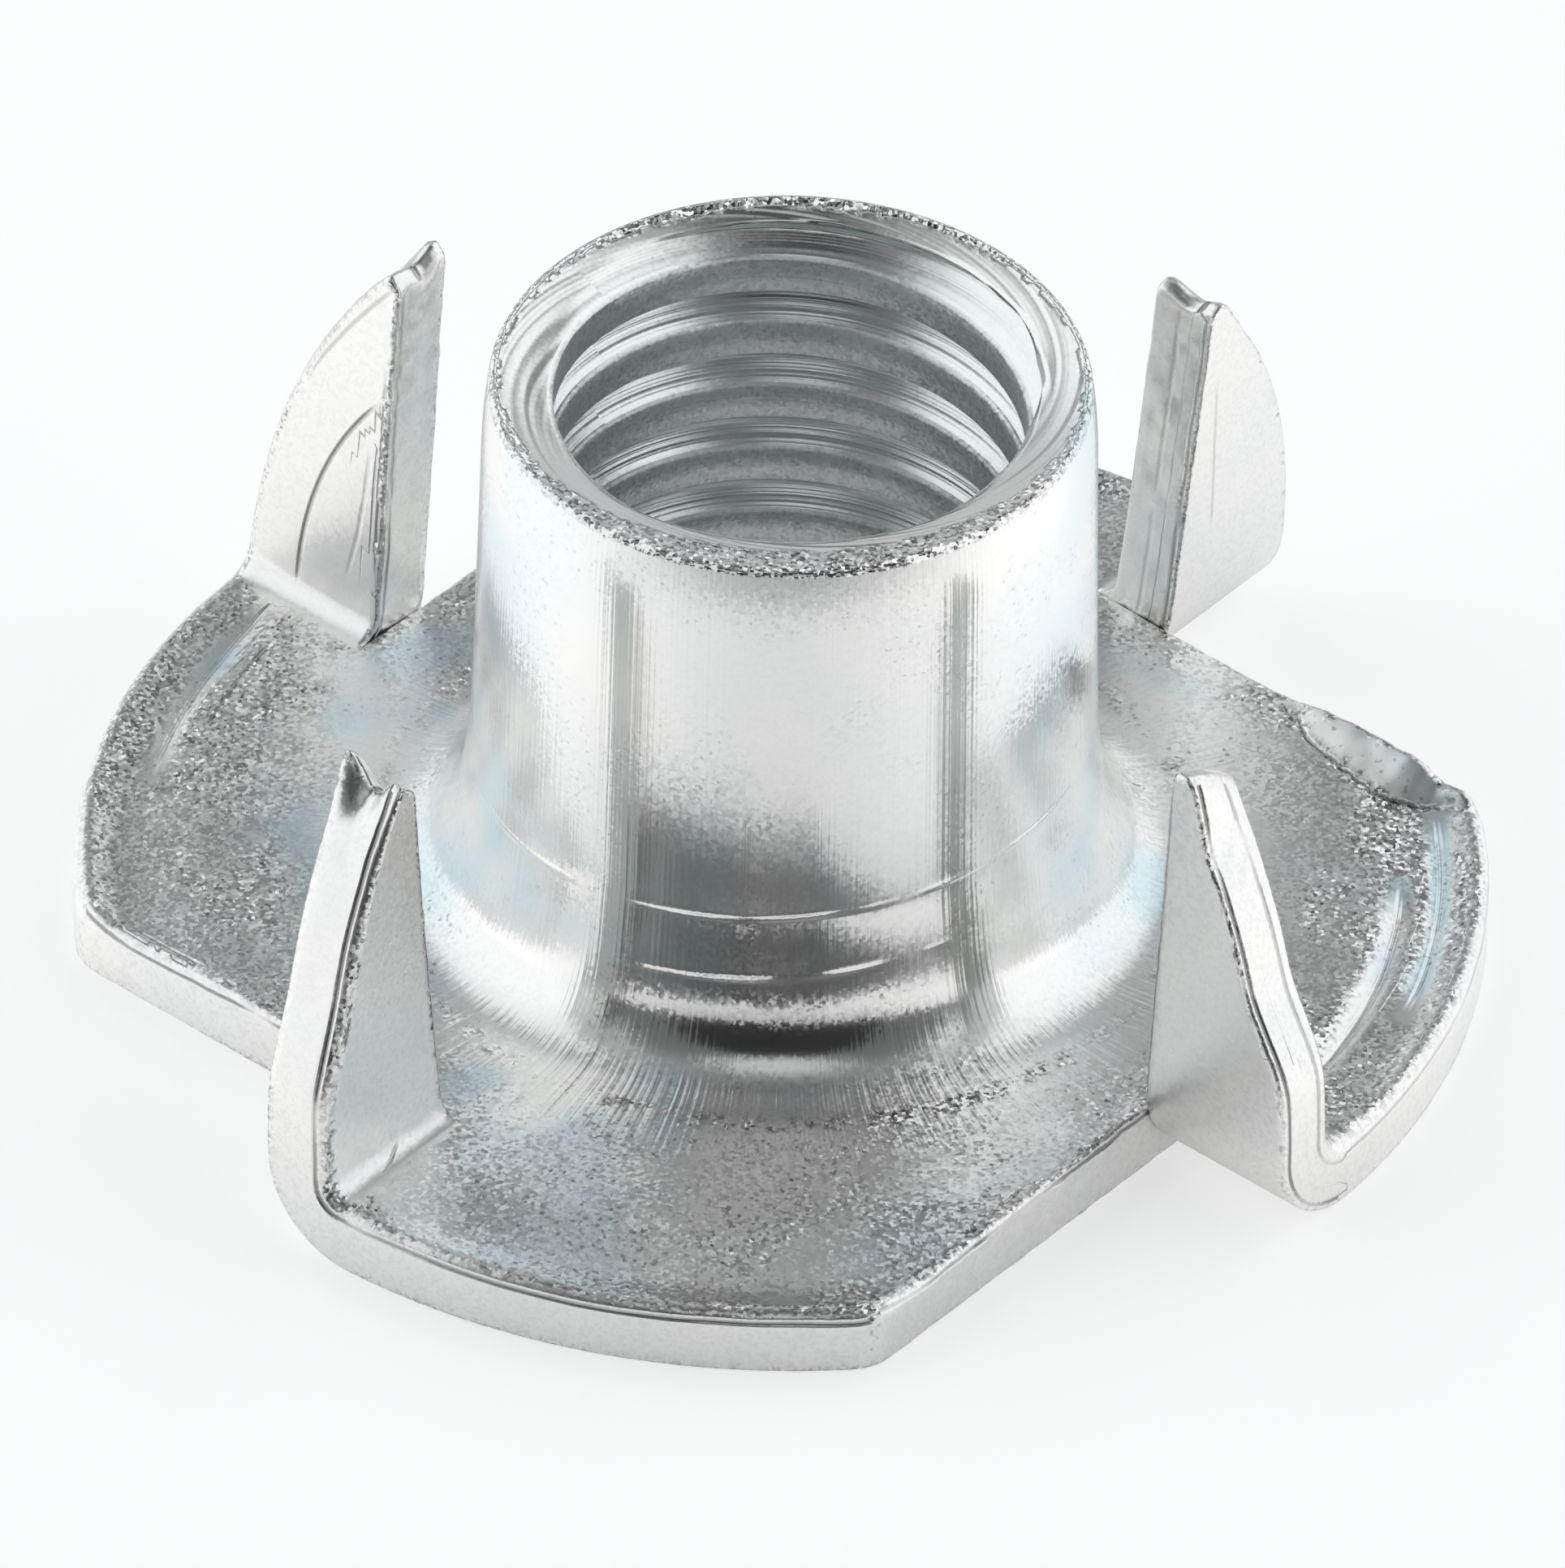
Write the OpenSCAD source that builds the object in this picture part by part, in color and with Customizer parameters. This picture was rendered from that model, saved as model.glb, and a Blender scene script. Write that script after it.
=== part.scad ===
// Tee nut: a round flange, a drawn and threaded barrel, and driving prongs
// folded up from the flange's own rim. All of it is one piece of sheet steel.
// Lengths are in millimetres. The nut stands on its flange, with the barrel up
// the Z axis and the origin in the middle of the underside.

/* [Flange] */
// Diameter of the round blank
flange_d = 22; // [21:0.5:26]
// Thickness of the sheet
sheet_t = 1.15; // [0.8:0.05:1.5]
// Radius rolled onto the top of the rim when the blank is punched
rim_roll = 0.25; // [0.05:0.05:0.4]

/* [Barrel] */
// Overall height, from the underside to the mouth
nut_h = 10.6; // [9:0.1:15]
// Outside diameter of the barrel's straight wall
barrel_d = 9.7; // [9.2:0.1:10.4]
// Outside diameter at the very top, where the wall draws in
mouth_rim_d = 9.3; // [8.8:0.1:9.6]
// Height of that drawn-in stretch
nose_h = 1.2; // [0.4:0.1:2]
// Outside diameter of the flared foot, where it meets the fillet
foot_d = 10.4; // [10:0.1:11]
// Height of the flared foot above the flange
foot_h = 2.75; // [1.6:0.05:4]
// Radius of the fillet between the foot and the flange
foot_fillet = 0.9; // [0.3:0.05:1.2]

/* [Threaded bore] */
// Nominal size of the thread, which is also the width of its mouth
thread_d = 8; // [7.4:0.1:8.4]
// Diameter left at the crests of the thread
bore_d = 7; // [5.5:0.1:7.2]
// Height of the countersink at the mouth
sink_h = 0.3; // [0.1:0.05:0.8]
// Radius of the rounded entry on the underside
entry_r = 1.2; // [0.5:0.1:1.6]

/* [Prongs] */
// Number of prongs
prongs = 4; // [3:1:4]
// Distance from the axis to the cut that frees each prong
cut_offset = 8.2; // [7.8:0.1:8.8]
// Distance that each fold starts ahead of the radial line
fold_lead = 0.55; // [0.2:0.05:1]
// Radius inside the fold
fold_r = 0.4; // [0.2:0.05:0.8]
// Place of the line that keeps its length in the fold, as a share of the sheet
neutral_share = 0.3; // [0.2:0.05:0.5]
// Width of the blunted tip
tip_w = 0.25; // [0.1:0.05:0.6]
// Fall of the blunted tip towards the barrel
tip_fall = 0.5; // [0:0.05:1]
// How far each prong leans past upright, away from its own lobe, in degrees
prong_leans = [-4, 6, 4, 6]; // [-8:1:8]

/* [Hidden] */
$fn = 120;
fold_fn = 96;
flange_r = flange_d / 2;
shoulder_z = sheet_t + foot_h;
fold_outer = fold_r + sheet_t;
past = 1;
hair = 0.01;
lap = 0.1;

// Section of the punched sheet from the axis to its rim, rolled on top
module sheet_section() {
    square([flange_r - rim_roll, sheet_t]);
    square([flange_r, sheet_t - rim_roll]);
    translate([flange_r - rim_roll, sheet_t - rim_roll]) circle(rim_roll);
}

// The round blank
module blank() {
    rotate_extrude() sheet_section();
}

// The part of the rim that each prong is folded from
module prong_gap() {
    side = 2 * flange_r;
    translate([cut_offset, fold_lead - side, -past]) cube([side, side, sheet_t + 2 * past]);
}

// Brings a sheet that lies past the fold line round to its place on the prong
module folded(turn) {
    translate([0, fold_lead, fold_outer]) rotate([-turn, 0, 0]) translate([0, 0, -fold_outer]) children();
}

// The fold itself, swept about a line that runs fold_r above the sheet
module fold(turn) {
    translate([0, fold_lead, fold_outer]) rotate([0, 90, 0])
        rotate_extrude(start = -turn, angle = turn, $fn = fold_fn)
            translate([fold_outer, 0]) rotate(90) intersection() {
                sheet_section();
                translate([cut_offset, 0]) square([flange_r, sheet_t]);
            }
}

// The flat of a prong: the blank's own outline past the fold, with a blunt tip.
// It is a hair smaller than the fold all round and runs a little way into it.
module flat(turn) {
    taken = PI * turn / 180 * (fold_r + neutral_share * sheet_t);
    start_y = fold_lead - taken;
    corner_x = cut_offset + tip_w;
    corner_y = -sqrt(pow(flange_r, 2) - pow(corner_x, 2));
    folded(turn) translate([0, -start_y, 0]) intersection() {
        blank();
        translate([0, 0, hair]) linear_extrude(sheet_t - 2 * hair) polygon([
            [cut_offset + hair, start_y + lap], [cut_offset + hair, corner_y + tip_fall],
            [corner_x, corner_y], [flange_d, corner_y], [flange_d, start_y + lap]]);
    }
}

// Outside of the barrel: flared foot, straight wall and drawn-in nose
module barrel() {
    foot_r = foot_d / 2;
    wall_r = barrel_d / 2;
    fillet_top = sheet_t + foot_fillet;
    rotate_extrude() polygon([
        [0, 0], [foot_r, 0], [foot_r, fillet_top], [wall_r, shoulder_z],
        [wall_r, nut_h - nose_h], [mouth_rim_d / 2, nut_h], [0, nut_h]]);
    rotate_extrude() difference() {
        translate([0, sheet_t / 2]) square([foot_r + foot_fillet, fillet_top - sheet_t / 2]);
        translate([foot_r + foot_fillet, fillet_top]) circle(foot_fillet);
    }
}

// The bore, with its countersunk mouth and rounded entry
module bore() {
    bore_r = bore_d / 2;
    translate([0, 0, -past]) cylinder(r = bore_r, h = nut_h + 2 * past);
    translate([0, 0, nut_h - sink_h]) cylinder(r1 = bore_r, r2 = thread_d / 2, h = sink_h);
    rotate_extrude() difference() {
        translate([0, -past]) square([bore_r + entry_r, entry_r + past]);
        translate([bore_r + entry_r, entry_r]) circle(entry_r);
    }
}

module tee_nut() {
    color("silver") difference() {
        union() {
            difference() {
                blank();
                for (i = [0 : prongs - 1]) rotate(i * 360 / prongs) prong_gap();
            }
            barrel();
            for (i = [0 : prongs - 1]) rotate(i * 360 / prongs) {
                fold(90 - prong_leans[i]);
                flat(90 - prong_leans[i]);
            }
        }
        bore();
    }
}

tee_nut();
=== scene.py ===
"""A zinc-plated tee nut: one stamped, drawn and folded piece of sheet steel, dressed around its frame."""

from collections import namedtuple
from functools import partial, reduce
from math import asin, atan2, cos, hypot, pi, radians, sin, sqrt, tan
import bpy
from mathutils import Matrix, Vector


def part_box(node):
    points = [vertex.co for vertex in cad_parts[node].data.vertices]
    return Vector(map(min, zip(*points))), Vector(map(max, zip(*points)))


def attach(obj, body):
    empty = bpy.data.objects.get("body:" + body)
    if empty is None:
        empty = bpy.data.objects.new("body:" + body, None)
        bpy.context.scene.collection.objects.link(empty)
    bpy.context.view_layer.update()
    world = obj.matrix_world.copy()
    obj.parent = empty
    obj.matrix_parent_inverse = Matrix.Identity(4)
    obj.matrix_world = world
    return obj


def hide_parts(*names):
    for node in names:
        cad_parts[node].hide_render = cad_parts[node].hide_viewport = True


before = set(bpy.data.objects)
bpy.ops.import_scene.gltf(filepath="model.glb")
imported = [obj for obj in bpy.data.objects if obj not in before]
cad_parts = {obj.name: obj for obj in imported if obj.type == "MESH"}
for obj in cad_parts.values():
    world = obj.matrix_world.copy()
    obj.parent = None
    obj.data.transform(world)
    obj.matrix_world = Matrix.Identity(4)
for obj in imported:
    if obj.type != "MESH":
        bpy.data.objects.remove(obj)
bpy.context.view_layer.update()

from types import SimpleNamespace

import bmesh
import bpy
import numpy as np
from bpy.props import FloatProperty, FloatVectorProperty, PointerProperty
from mathutils import Matrix

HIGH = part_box("tee_nut")[1]
MM = 0.001
QUARTER = pi / 2

bl_info = {
    "name": "Tee nut",
    "version": (1, 0, 0),
    "blender": (4, 5, 0),
    "location": "View3D > Sidebar > Tee nut",
    "description": "Builds a zinc-plated tee nut and the studio it stands in",
    "category": "Object",
}


# ---------------- settings


def length(name, description, default):
    """A length in metres."""
    return FloatProperty(name=name, description=description, default=default, unit="LENGTH")


def degrees(name, description, default):
    """An angle, given in degrees and kept in radians."""
    return FloatProperty(name=name, description=description, default=radians(default), subtype="ANGLE")


def fraction(name, description, default):
    """A number from 0 to 1."""
    return FloatProperty(name=name, description=description, default=default, min=0, max=1,
                         subtype="FACTOR")


def tint(name, description, default):
    """A colour."""
    return FloatVectorProperty(name=name, description=description, default=default, size=3, min=0,
                               max=1, subtype="COLOR")


class NutSizes(bpy.types.PropertyGroup):
    """The sizes of the stamped nut."""

    flange_r: length("Flange radius", "Radius of the punched blank", HIGH.x)
    height: length("Height", "From the underside to the mouth", HIGH.z)
    sheet: length("Sheet", "Thickness of the sheet", 1.15 * MM)
    rim_roll: length("Rim roll", "Radius rolled onto the rim's top edge by the punch", 0.25 * MM)
    wall_r: length("Barrel radius", "Outside radius of the straight wall", 4.85 * MM)
    mouth_rim_r: length("Mouth rim radius", "Outside radius at the top", 4.65 * MM)
    mouth_edge: length("Mouth edge", "Rounding between the nose and the mouth's face", 0.12 * MM)
    nose: length("Nose", "Height of the stretch that draws in", 1.2 * MM)
    foot_r: length("Foot radius", "Radius where the flared foot meets the fillet", 4.98 * MM)
    foot_h: length("Foot height", "Height of the flared foot above the flange", 2.75 * MM)
    fillet_h: length("Fillet height", "Height of the curve between the foot and the flange", 1.65 * MM)
    mouth_r: length("Mouth radius", "Radius at which the countersink cuts the mouth's face", 4.35 * MM)
    mouth_fall: length("Mouth fall", "How far the mouth's face falls inwards", 0.06 * MM)
    sink_off: length("Countersink offset", "How far the countersink was cut off centre", 0.18 * MM)
    sink_oval: length("Countersink oval", "How far the countersink is out of round", 0.14 * MM)
    sink: degrees("Countersink", "Angle of the countersink's side from level", 18)
    thread_r: length("Thread radius", "Radius at the roots of the thread", 4.1 * MM)
    bore_r: length("Bore radius", "Radius at the crests of the thread", 3.65 * MM)
    pitch: length("Pitch", "Rise of the thread in one turn", 1.25 * MM)
    thread_start: length("Thread start", "Height of the lowest crest on the x axis", 0.53 * MM)
    entry_r: length("Entry radius", "Radius of the rounded entry on the underside", 1.2 * MM)
    cut: length("Cut offset", "Distance from the axis to the cut that frees a prong", 8.2 * MM)
    fold_lead: length("Fold lead", "How far each fold starts ahead of the radial line", 0.55 * MM)
    fold_r: length("Fold radius", "Radius inside the fold", 0.4 * MM)
    neutral: fraction("Neutral line", "Where the fold keeps its length, as a share of the sheet", 0.3)
    corner_r: length("Corner radius", "Rounding of the flange's corners in plan", 0.35 * MM)


class NutFinish(bpy.types.PropertyGroup):
    """The colours and texture of the zinc plate."""

    zinc: tint("Zinc", "Colour of the clean plate", (0.86, 0.855, 0.84))
    # Also laid on the barrel's left and right sides, as seen from the front, as a painted bluish sheen
    blue: tint("Passivation", "Tint where the passivation film is thicker", (0.66, 0.79, 0.83))
    # Painted shade: crystals picked at random get this colour, as if they faced away from the light
    dark: tint("Dark crystals", "Colour of the crystals that face away", (0.22, 0.22, 0.22))
    # Colour of the random dark specks, and of the painted shade laid along creases and seams
    specks_and_crease_shade: tint("Dirt", "Colour of pits and creases", (0.16, 0.155, 0.15))
    roughness: fraction("Roughness", "Roughness of the smooth plate", 0.11)


class Studio(bpy.types.PropertyGroup):
    """The floor, the soft light and the camera."""

    backdrop: tint("Backdrop", "Colour of the floor and the space behind it", (0.94, 0.94, 0.94))
    elevation: degrees("Elevation", "Height of the camera over the horizon", 39.63)
    turn: degrees("Turn", "Turn of the camera from the front, anticlockwise from above", 39.8)
    roll: degrees("Roll", "Roll of the camera", 1.15)
    distance: length("Distance", "From the camera to the nut", 500 * MM)
    lens: FloatProperty(name="Lens", description="Focal length in millimetres", default=743.5)
    aim_z: length("Aim", "Height that the camera looks at", 4 * MM)
    shift_right: length("Right", "Camera moved to its own right", -0.029 * MM)
    shift_up: length("Up", "Camera moved along its own up", -1.10 * MM)


# ---------------- curves in a plane


def line(p, q, n=60):
    """Points from p to q at equal distances."""
    s = np.linspace(0, 1, n)[:, None]
    return (1 - s) * np.array(p, float) + s * np.array(q, float)


def arc(centre, r, start, end, n=90):
    """Points at distance r from centre, from one angle to another."""
    a = np.linspace(start, end, n)
    return np.array(centre, float) + r * np.stack([np.cos(a), np.sin(a)], 1)


def eased(p, corner, q, n=41):
    """A corner rounded as a quadratic curve: (1-s)^2 p + 2s(1-s) corner + s^2 q."""
    s = np.linspace(0, 1, n)[:, None]
    p, corner, q = (np.array(v, float) for v in (p, corner, q))
    return (1 - s) ** 2 * p + 2 * s * (1 - s) * corner + s ** 2 * q


def chain(*runs):
    """Runs of points joined end to end, each joint kept once."""
    return np.concatenate([runs[0]] + [r[1:] for r in runs[1:]])


def lengths(run):
    """The distance along a run to each of its points."""
    return np.concatenate([[0], np.cumsum(np.linalg.norm(np.diff(run, axis=0), axis=1))])


def spaced(run, cells):
    """A run sampled at equal distances, with the unit normal on its right at each sample."""
    along = lengths(run)
    s = np.linspace(0, along[-1], cells + 1)
    points = np.stack([np.interp(s, along, run[:, k]) for k in (0, 1)], 1)
    slope = np.gradient(run, along, axis=0, edge_order=2)
    normal = np.stack([np.interp(s, along, slope[:, 1]), -np.interp(s, along, slope[:, 0])], 1)
    return points, normal / np.linalg.norm(normal, axis=1, keepdims=True)


def coons(bottom, top, left, right):
    """The patch between four curves: bottom and top joined by straight lines, plus left and right
    joined by straight lines, less the plain blend of the four corners."""
    s = np.linspace(0, 1, len(bottom))[:, None, None]
    t = np.linspace(0, 1, len(left))[None, :, None]
    across = (1 - t) * bottom[:, None] + t * top[:, None]
    along = (1 - s) * left[None] + s * right[None]
    corners = ((1 - s) * (1 - t) * bottom[0] + s * (1 - t) * bottom[-1]
               + (1 - s) * t * top[0] + s * t * top[-1])
    return across + along - corners


# ---------------- noise


def hashed(ix, iy, iz, seed):
    """A number from 0 to 1 for each cell of a whole-number lattice, from the sine of a mixed sum."""
    mixed = np.sin(ix * 127.1 + iy * 311.7 + iz * 74.7 + seed * 53.9) * 43758.5453
    return mixed - np.floor(mixed)


def noise(points, size, seed=0):
    """Smooth noise from -1 to 1: lattice values a given size apart, blended along each axis in turn."""
    q = np.asarray(points, float) / size
    base = np.floor(q)
    f = q - base
    f = f * f * (3 - 2 * f)
    total = np.zeros(q.shape[:-1])
    for dx in (0, 1):
        for dy in (0, 1):
            for dz in (0, 1):
                weight = (np.abs(1 - dx - f[..., 0]) * np.abs(1 - dy - f[..., 1])
                          * np.abs(1 - dz - f[..., 2]))
                total += weight * hashed(base[..., 0] + dx, base[..., 1] + dy, base[..., 2] + dz, seed)
    return 2 * total - 1


def smooth(a, b, x):
    """0 below a, 1 above b and a smooth step between."""
    s = np.clip((x - a) / (b - a), 0, 1)
    return s * s * (3 - 2 * s)


# ---------------- the mesh


# The mask gap, in millimetres, where no scored line is near
NO_LINE = 9.0


class Shell:
    """Patches of points gathered into one closed mesh, with a mask of each kind of surface. Of the
    masks, gap is the distance in millimetres to the nearest scored line, positive on one side and
    negative on the other, and score is that line's strength: above 0 a line painted dark with the
    shade of creases, below 0 a clean groove."""

    MASKS = {"rim": 0.0, "cut": 0.0, "barrel": 0.0, "bore": 0.0, "prong": 0.0, "calm": 0.0,
             "gap": NO_LINE, "score": 0.0}
    # Slow changes over the plate: the size of each one's patches and its seed
    PATCHES = {"grainy": (1.1 * MM, 21), "tint": (2.6 * MM, 22)}

    def __init__(self):
        self.points, self.faces, self.count = [], [], 0
        self.masks = {m: [] for m in self.MASKS}

    def _store(self, points, masks):
        start = self.count
        flat = points.reshape(-1, 3)
        self.points.append(flat)
        for name, default in self.MASKS.items():
            value = np.broadcast_to(masks.get(name, default), points.shape[:-1])
            self.masks[name].append(value.reshape(-1))
        self.count += len(flat)
        return start

    def grid(self, points, closed=False, shift=0, **masks):
        """Four-sided faces over a grid of points. A closed grid joins its last column to its first,
        shift rows further on."""
        rows, columns = points.shape[:2]
        number = self._store(points, masks) + np.arange(rows * columns).reshape(rows, columns)
        quads = [np.stack([number[:-1, :-1], number[1:, :-1], number[1:, 1:], number[:-1, 1:]], -1)]
        if closed:
            a = number[:rows - shift, -1]
            b = number[shift:, 0]
            quads.append(np.stack([a[:-1], a[1:], b[1:], b[:-1]], -1)[:, None])
        self.faces += [q.reshape(-1, 4) for q in quads]

    def step(self, coarse, fine, **masks):
        """Three-sided faces between a closed ring of points and one with twice as many."""
        start = self._store(np.concatenate([coarse, fine]), masks)
        n = len(coarse)
        i = np.arange(n)
        a, b = start + i, start + (i + 1) % n
        c, d, e = start + n + 2 * i, start + n + 2 * i + 1, start + n + (2 * i + 2) % (2 * n)
        for tri in ((a, c, d), (a, d, b), (b, d, e)):
            self.faces.append(np.stack([*tri, tri[2]], -1))

    def object(self, name, weld):
        """The patches as one object, with doubled points merged and all faces turned outwards."""
        faces, points = np.concatenate(self.faces), np.concatenate(self.points)
        mesh = bpy.data.meshes.new(name)
        lists = [f[:3] if f[2] == f[3] else f for f in faces.tolist()]
        mesh.from_pydata(points, [], lists)
        for mask, values in self.masks.items():
            layer = mesh.attributes.new(mask, "FLOAT", "POINT")
            layer.data.foreach_set("value", np.concatenate(values).astype(np.float32))
        for patch, (size, seed) in self.PATCHES.items():
            layer = mesh.attributes.new(patch, "FLOAT", "POINT")
            value = 0.7 * noise(points, size, seed) + 0.3 * noise(points, 0.4 * size, seed + 1)
            layer.data.foreach_set("value", (0.5 + 0.5 * value).astype(np.float32))
        b = bmesh.new()
        b.from_mesh(mesh)
        bmesh.ops.remove_doubles(b, verts=b.verts, dist=weld)
        bmesh.ops.recalc_face_normals(b, faces=b.faces)
        for face in b.faces:
            face.smooth = True
        b.to_mesh(mesh)
        b.free()
        made = bpy.data.objects.new(name, mesh)
        bpy.context.scene.collection.objects.link(made)
        return made


# ---------------- the blank and its folds

# How far each prong falls short of upright
LEANS = [radians(a) for a in (-4, 6, 4, 6)]
# The torn tip of a prong. In millimetres: its width, how far it falls towards the barrel, the depth of
# the notch in its thickness, how far its outer skin is drawn up past the rest, its rounding in plan, how
# far the prong's rim was pushed in near it and the rounding across its thickness. Last, the share of the
# thickness that is drawn up.
Tip = namedtuple("Tip", "width fall notch drawn ease push soft skin")
TIPS = (
    Tip(0.34, 0.02, 0.00, 0.55, 0.13, 0.46, 0.11, 1.20), Tip(0.30, 0.10, 0.10, 0.10, 0.12, 0, 0.07, 0.45),
    Tip(0.26, 0.20, 0.06, 0.18, 0.12, 0, 0.10, 0.45), Tip(0.28, 0.26, 0.32, 0.26, 0.12, 0.27, 0.07, 0.45))
# For each prong, how rough its inner edge was torn, from the root to the tip
TEARS = [(1, 0.2, 0.4, 0.6, 1), (1, 0.4, 0.7, 1, 1), (1, 0.3, 0.9, 1.7, 1.7), (1, 0.2, 0.5, 1, 1)]
# Cells across a prong, along a prong, along a lobe's rim, and along a cut next to the web
ACROSS, ALONG, RIM, WEB = 20, 64, 72, 48
# Cells over the rolled top of an edge, down its wall and over its lower corner
EDGE_TOP, EDGE_WALL, EDGE_FOOT = 4, 8, 2
# Rows of faces in the web, on top and below
WEB_ROWS, WEB_ROWS_BELOW = 14, 3
# Points of the mesh that are closer than this are one
WELD = 0.0004 * MM
# The circle on which the web meets the barrel's foot, and where along a cut the web's stretch starts
WEB_R = 6.6 * MM
BAND_X = 5.0 * MM
# Size of the lower corner of an edge, and the inset at which the edge's shape has its full strength
LOWER_EDGE, FULL_INSET = 0.06 * MM, 0.03 * MM
# How far an edge wanders where it was punched clean, and how much more where it was torn
EVEN, TORN = 0.005 * MM, 0.040 * MM
# The direction that faces the front: the countersink was cut off centre away from it
FRONT = radians(-50.2)
# The lip that the cut turned up on the first lobe: along the cut, how far in it starts and how high
# it stands at the edge
LIP_X = (2.4, 3.3, 3.75, 4.24, 5.14, 5.93, 6.3, 6.6, 6.95, 7.2, 7.45)
LIP_IN = (0.03, 0.10, 0.25, 0.50, 0.73, 0.83, 0.78, 0.56, 0.30, 0.22, 0.10)
LIP_UP = (0.00, 0.03, 0.14, 0.24, 0.32, 0.46, 0.40, 0.20, 0.33, 0.26, 0.00)
# Burrs along the cuts of the lobes: lobe, first and last place along the cut, distance in, height
BURRS = ((2, 3.9, 6.5, 0.20, 0.035), (3, 0.6, 2.6, 0.14, 0.05), (3, 5.6, 6.9, 0.22, 0.02),
         (1, 1.5, 5.0, 0.18, 0.03))


def bow(r, first, last):
    """A line round the axis at distance r, from one angle in degrees to another, in millimetres."""
    return arc((0, 0), r, radians(first), radians(last), 24)


# Lines in the top of the lobes, in the nut's own frame: the run in millimetres and its strength. First
# the marks that the die left, then scores. A line with a strength above 0 is painted dark along its
# middle, as the shade in creases.
DIE_MARKS = (bow(9.62, 4, 38), -1.0), (bow(10.25, 20, 48), -0.8), (bow(9.98, -178, -150), -0.9)
SCORES = (
    *DIE_MARKS, (bow(9.45, -172, -158), 0.6), ([(-8.29, -3.33), (-8.27, -2.44)], -0.7),
    ([(3.7, 8.02), (4.24, 7.62), (5.14, 7.42), (5.93, 7.30), (6.6, 7.6), (6.9, 7.9)], 0.8),
    ([(-6.44, -7.94), (-5.2, -7.98), (-3.9, -8.06)], 0.6),
    ([(7.95, -3.2), (8.0, -5.0), (7.93, -6.6)], 0.35),
)
# Lines scored in the faces of the prongs, by prong and inner face, in the flat prong's frame, each
# painted dark along its middle as the shade in creases
CREASES = {
    (2, True): (
        (eased((8.33, -4.72), (9.95, -2.7), (9.84, -0.2), 16), 0.6),
        (eased((8.15, -7.03), (9.5, -5.4), (10.4, -3.4), 16), 0.4),
        ([(8.36, -5.6), (8.31, -3.92), (8.31, -3.02), (8.32, -2.32), (8.28, -1.2)], 0.5),
        ([(8.56, -3.67), (8.60, -2.89), (8.70, -1.9), (8.9, -0.9)], 0.2)),
    (1, False): (([(8.55, -5.56), (8.72, -4.0), (8.88, -2.72), (8.95, -2.0)], 0.3),),
    (3, True): (([(9.3, -0.2), (9.6, 0.1), (9.9, 0.3)], 0.4),),
}
# Seams round the edges: by the prong or lobe and the edge, each one's height in the sheet and strength.
# Each is painted as a dark line of shade along the edge's wall.
SEAMS = {
    (0, "back"): ((0.13, 1.0), (0.84, 0.5)), (0, "side"): ((0.12, 0.3),),
    (1, "side"): ((0.11, 0.6), (0.62, 0.15)), (2, "side"): ((1.02, 0.5),),
    (3, "back"): ((0.97, 1.0),), (3, "rim"): ((0.95, 0.7),), (3, "tip"): ((0.5, 1.0),),
    (0, "rim"): ((0.93, 0.4),), (2, "outer"): ((1.02, 0.8),), (2, "inner"): ((1.02, 0.8),),
    (3, "outer"): ((1.05, 0.5),), (3, "inner"): ((1.05, 0.9),), (2, "tip"): ((0.6, 0.7),),
    (1, "tip"): ((0.3, 0.8),),
}


def apart(at, run):
    """Signed distance in millimetres from points to a run of straight pieces, and how far along the
    run the nearest place is, from 0 to 1."""
    p, run = at[..., None, :2] / MM, np.array(run)
    start, way = run[:-1], np.diff(run, axis=0)
    along = np.clip(np.sum((p - start) * way, -1) / np.sum(way * way, -1), 0, 1)
    off = p - (start + along[..., None] * way)
    side = np.sign(way[:, 0] * off[..., 1] - way[:, 1] * off[..., 0])
    away = np.linalg.norm(off, axis=-1)
    k = np.argmin(away, -1)[..., None]
    pick = [np.take_along_axis(v, k, -1)[..., 0] for v in (away, side, along)]
    return pick[0] * pick[1], (k[..., 0] + pick[2]) / len(way)


def nearest(gaps, strengths):
    """The masks gap and score of the line that is nearest at each place. A line's strength fades out
    between 0.17 and 0.30 mm beside it."""
    gap, score = np.full(gaps[0].shape, NO_LINE), np.zeros(gaps[0].shape)
    for d, strength in zip(gaps, strengths):
        closer = np.abs(d) < np.abs(gap)
        gap = np.where(closer, d, gap)
        score = np.where(closer, strength * smooth(0.30, 0.17, np.abs(d)), score)
    return {"gap": gap, "score": score}


def scored(at, lines):
    """The masks gap and score of lines on a face. Each line fades out at its ends."""
    if not lines:
        return {}
    found = [apart(at, run) for run, _ in lines]
    return nearest([d for d, _ in found], [
        strength * smooth(0, 0.15, along) * smooth(1, 0.85, along)
        for (_, along), (_, strength) in zip(found, lines)])


def seamed(flat, at, seams):
    """The masks gap and score of seams along an edge, each at its height in the sheet, wandering by
    0.02 mm and uneven in strength."""
    if not seams:
        return {}
    up = flat[..., 2] / MM + 0.02 * noise(at, 0.9 * MM, 41)
    uneven = smooth(-1.1, -0.2, noise(at * [1, 1, 0], 0.9 * MM, 42))
    return nearest([up - height for height, _ in seams], [strength * uneven for _, strength in seams])


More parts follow.
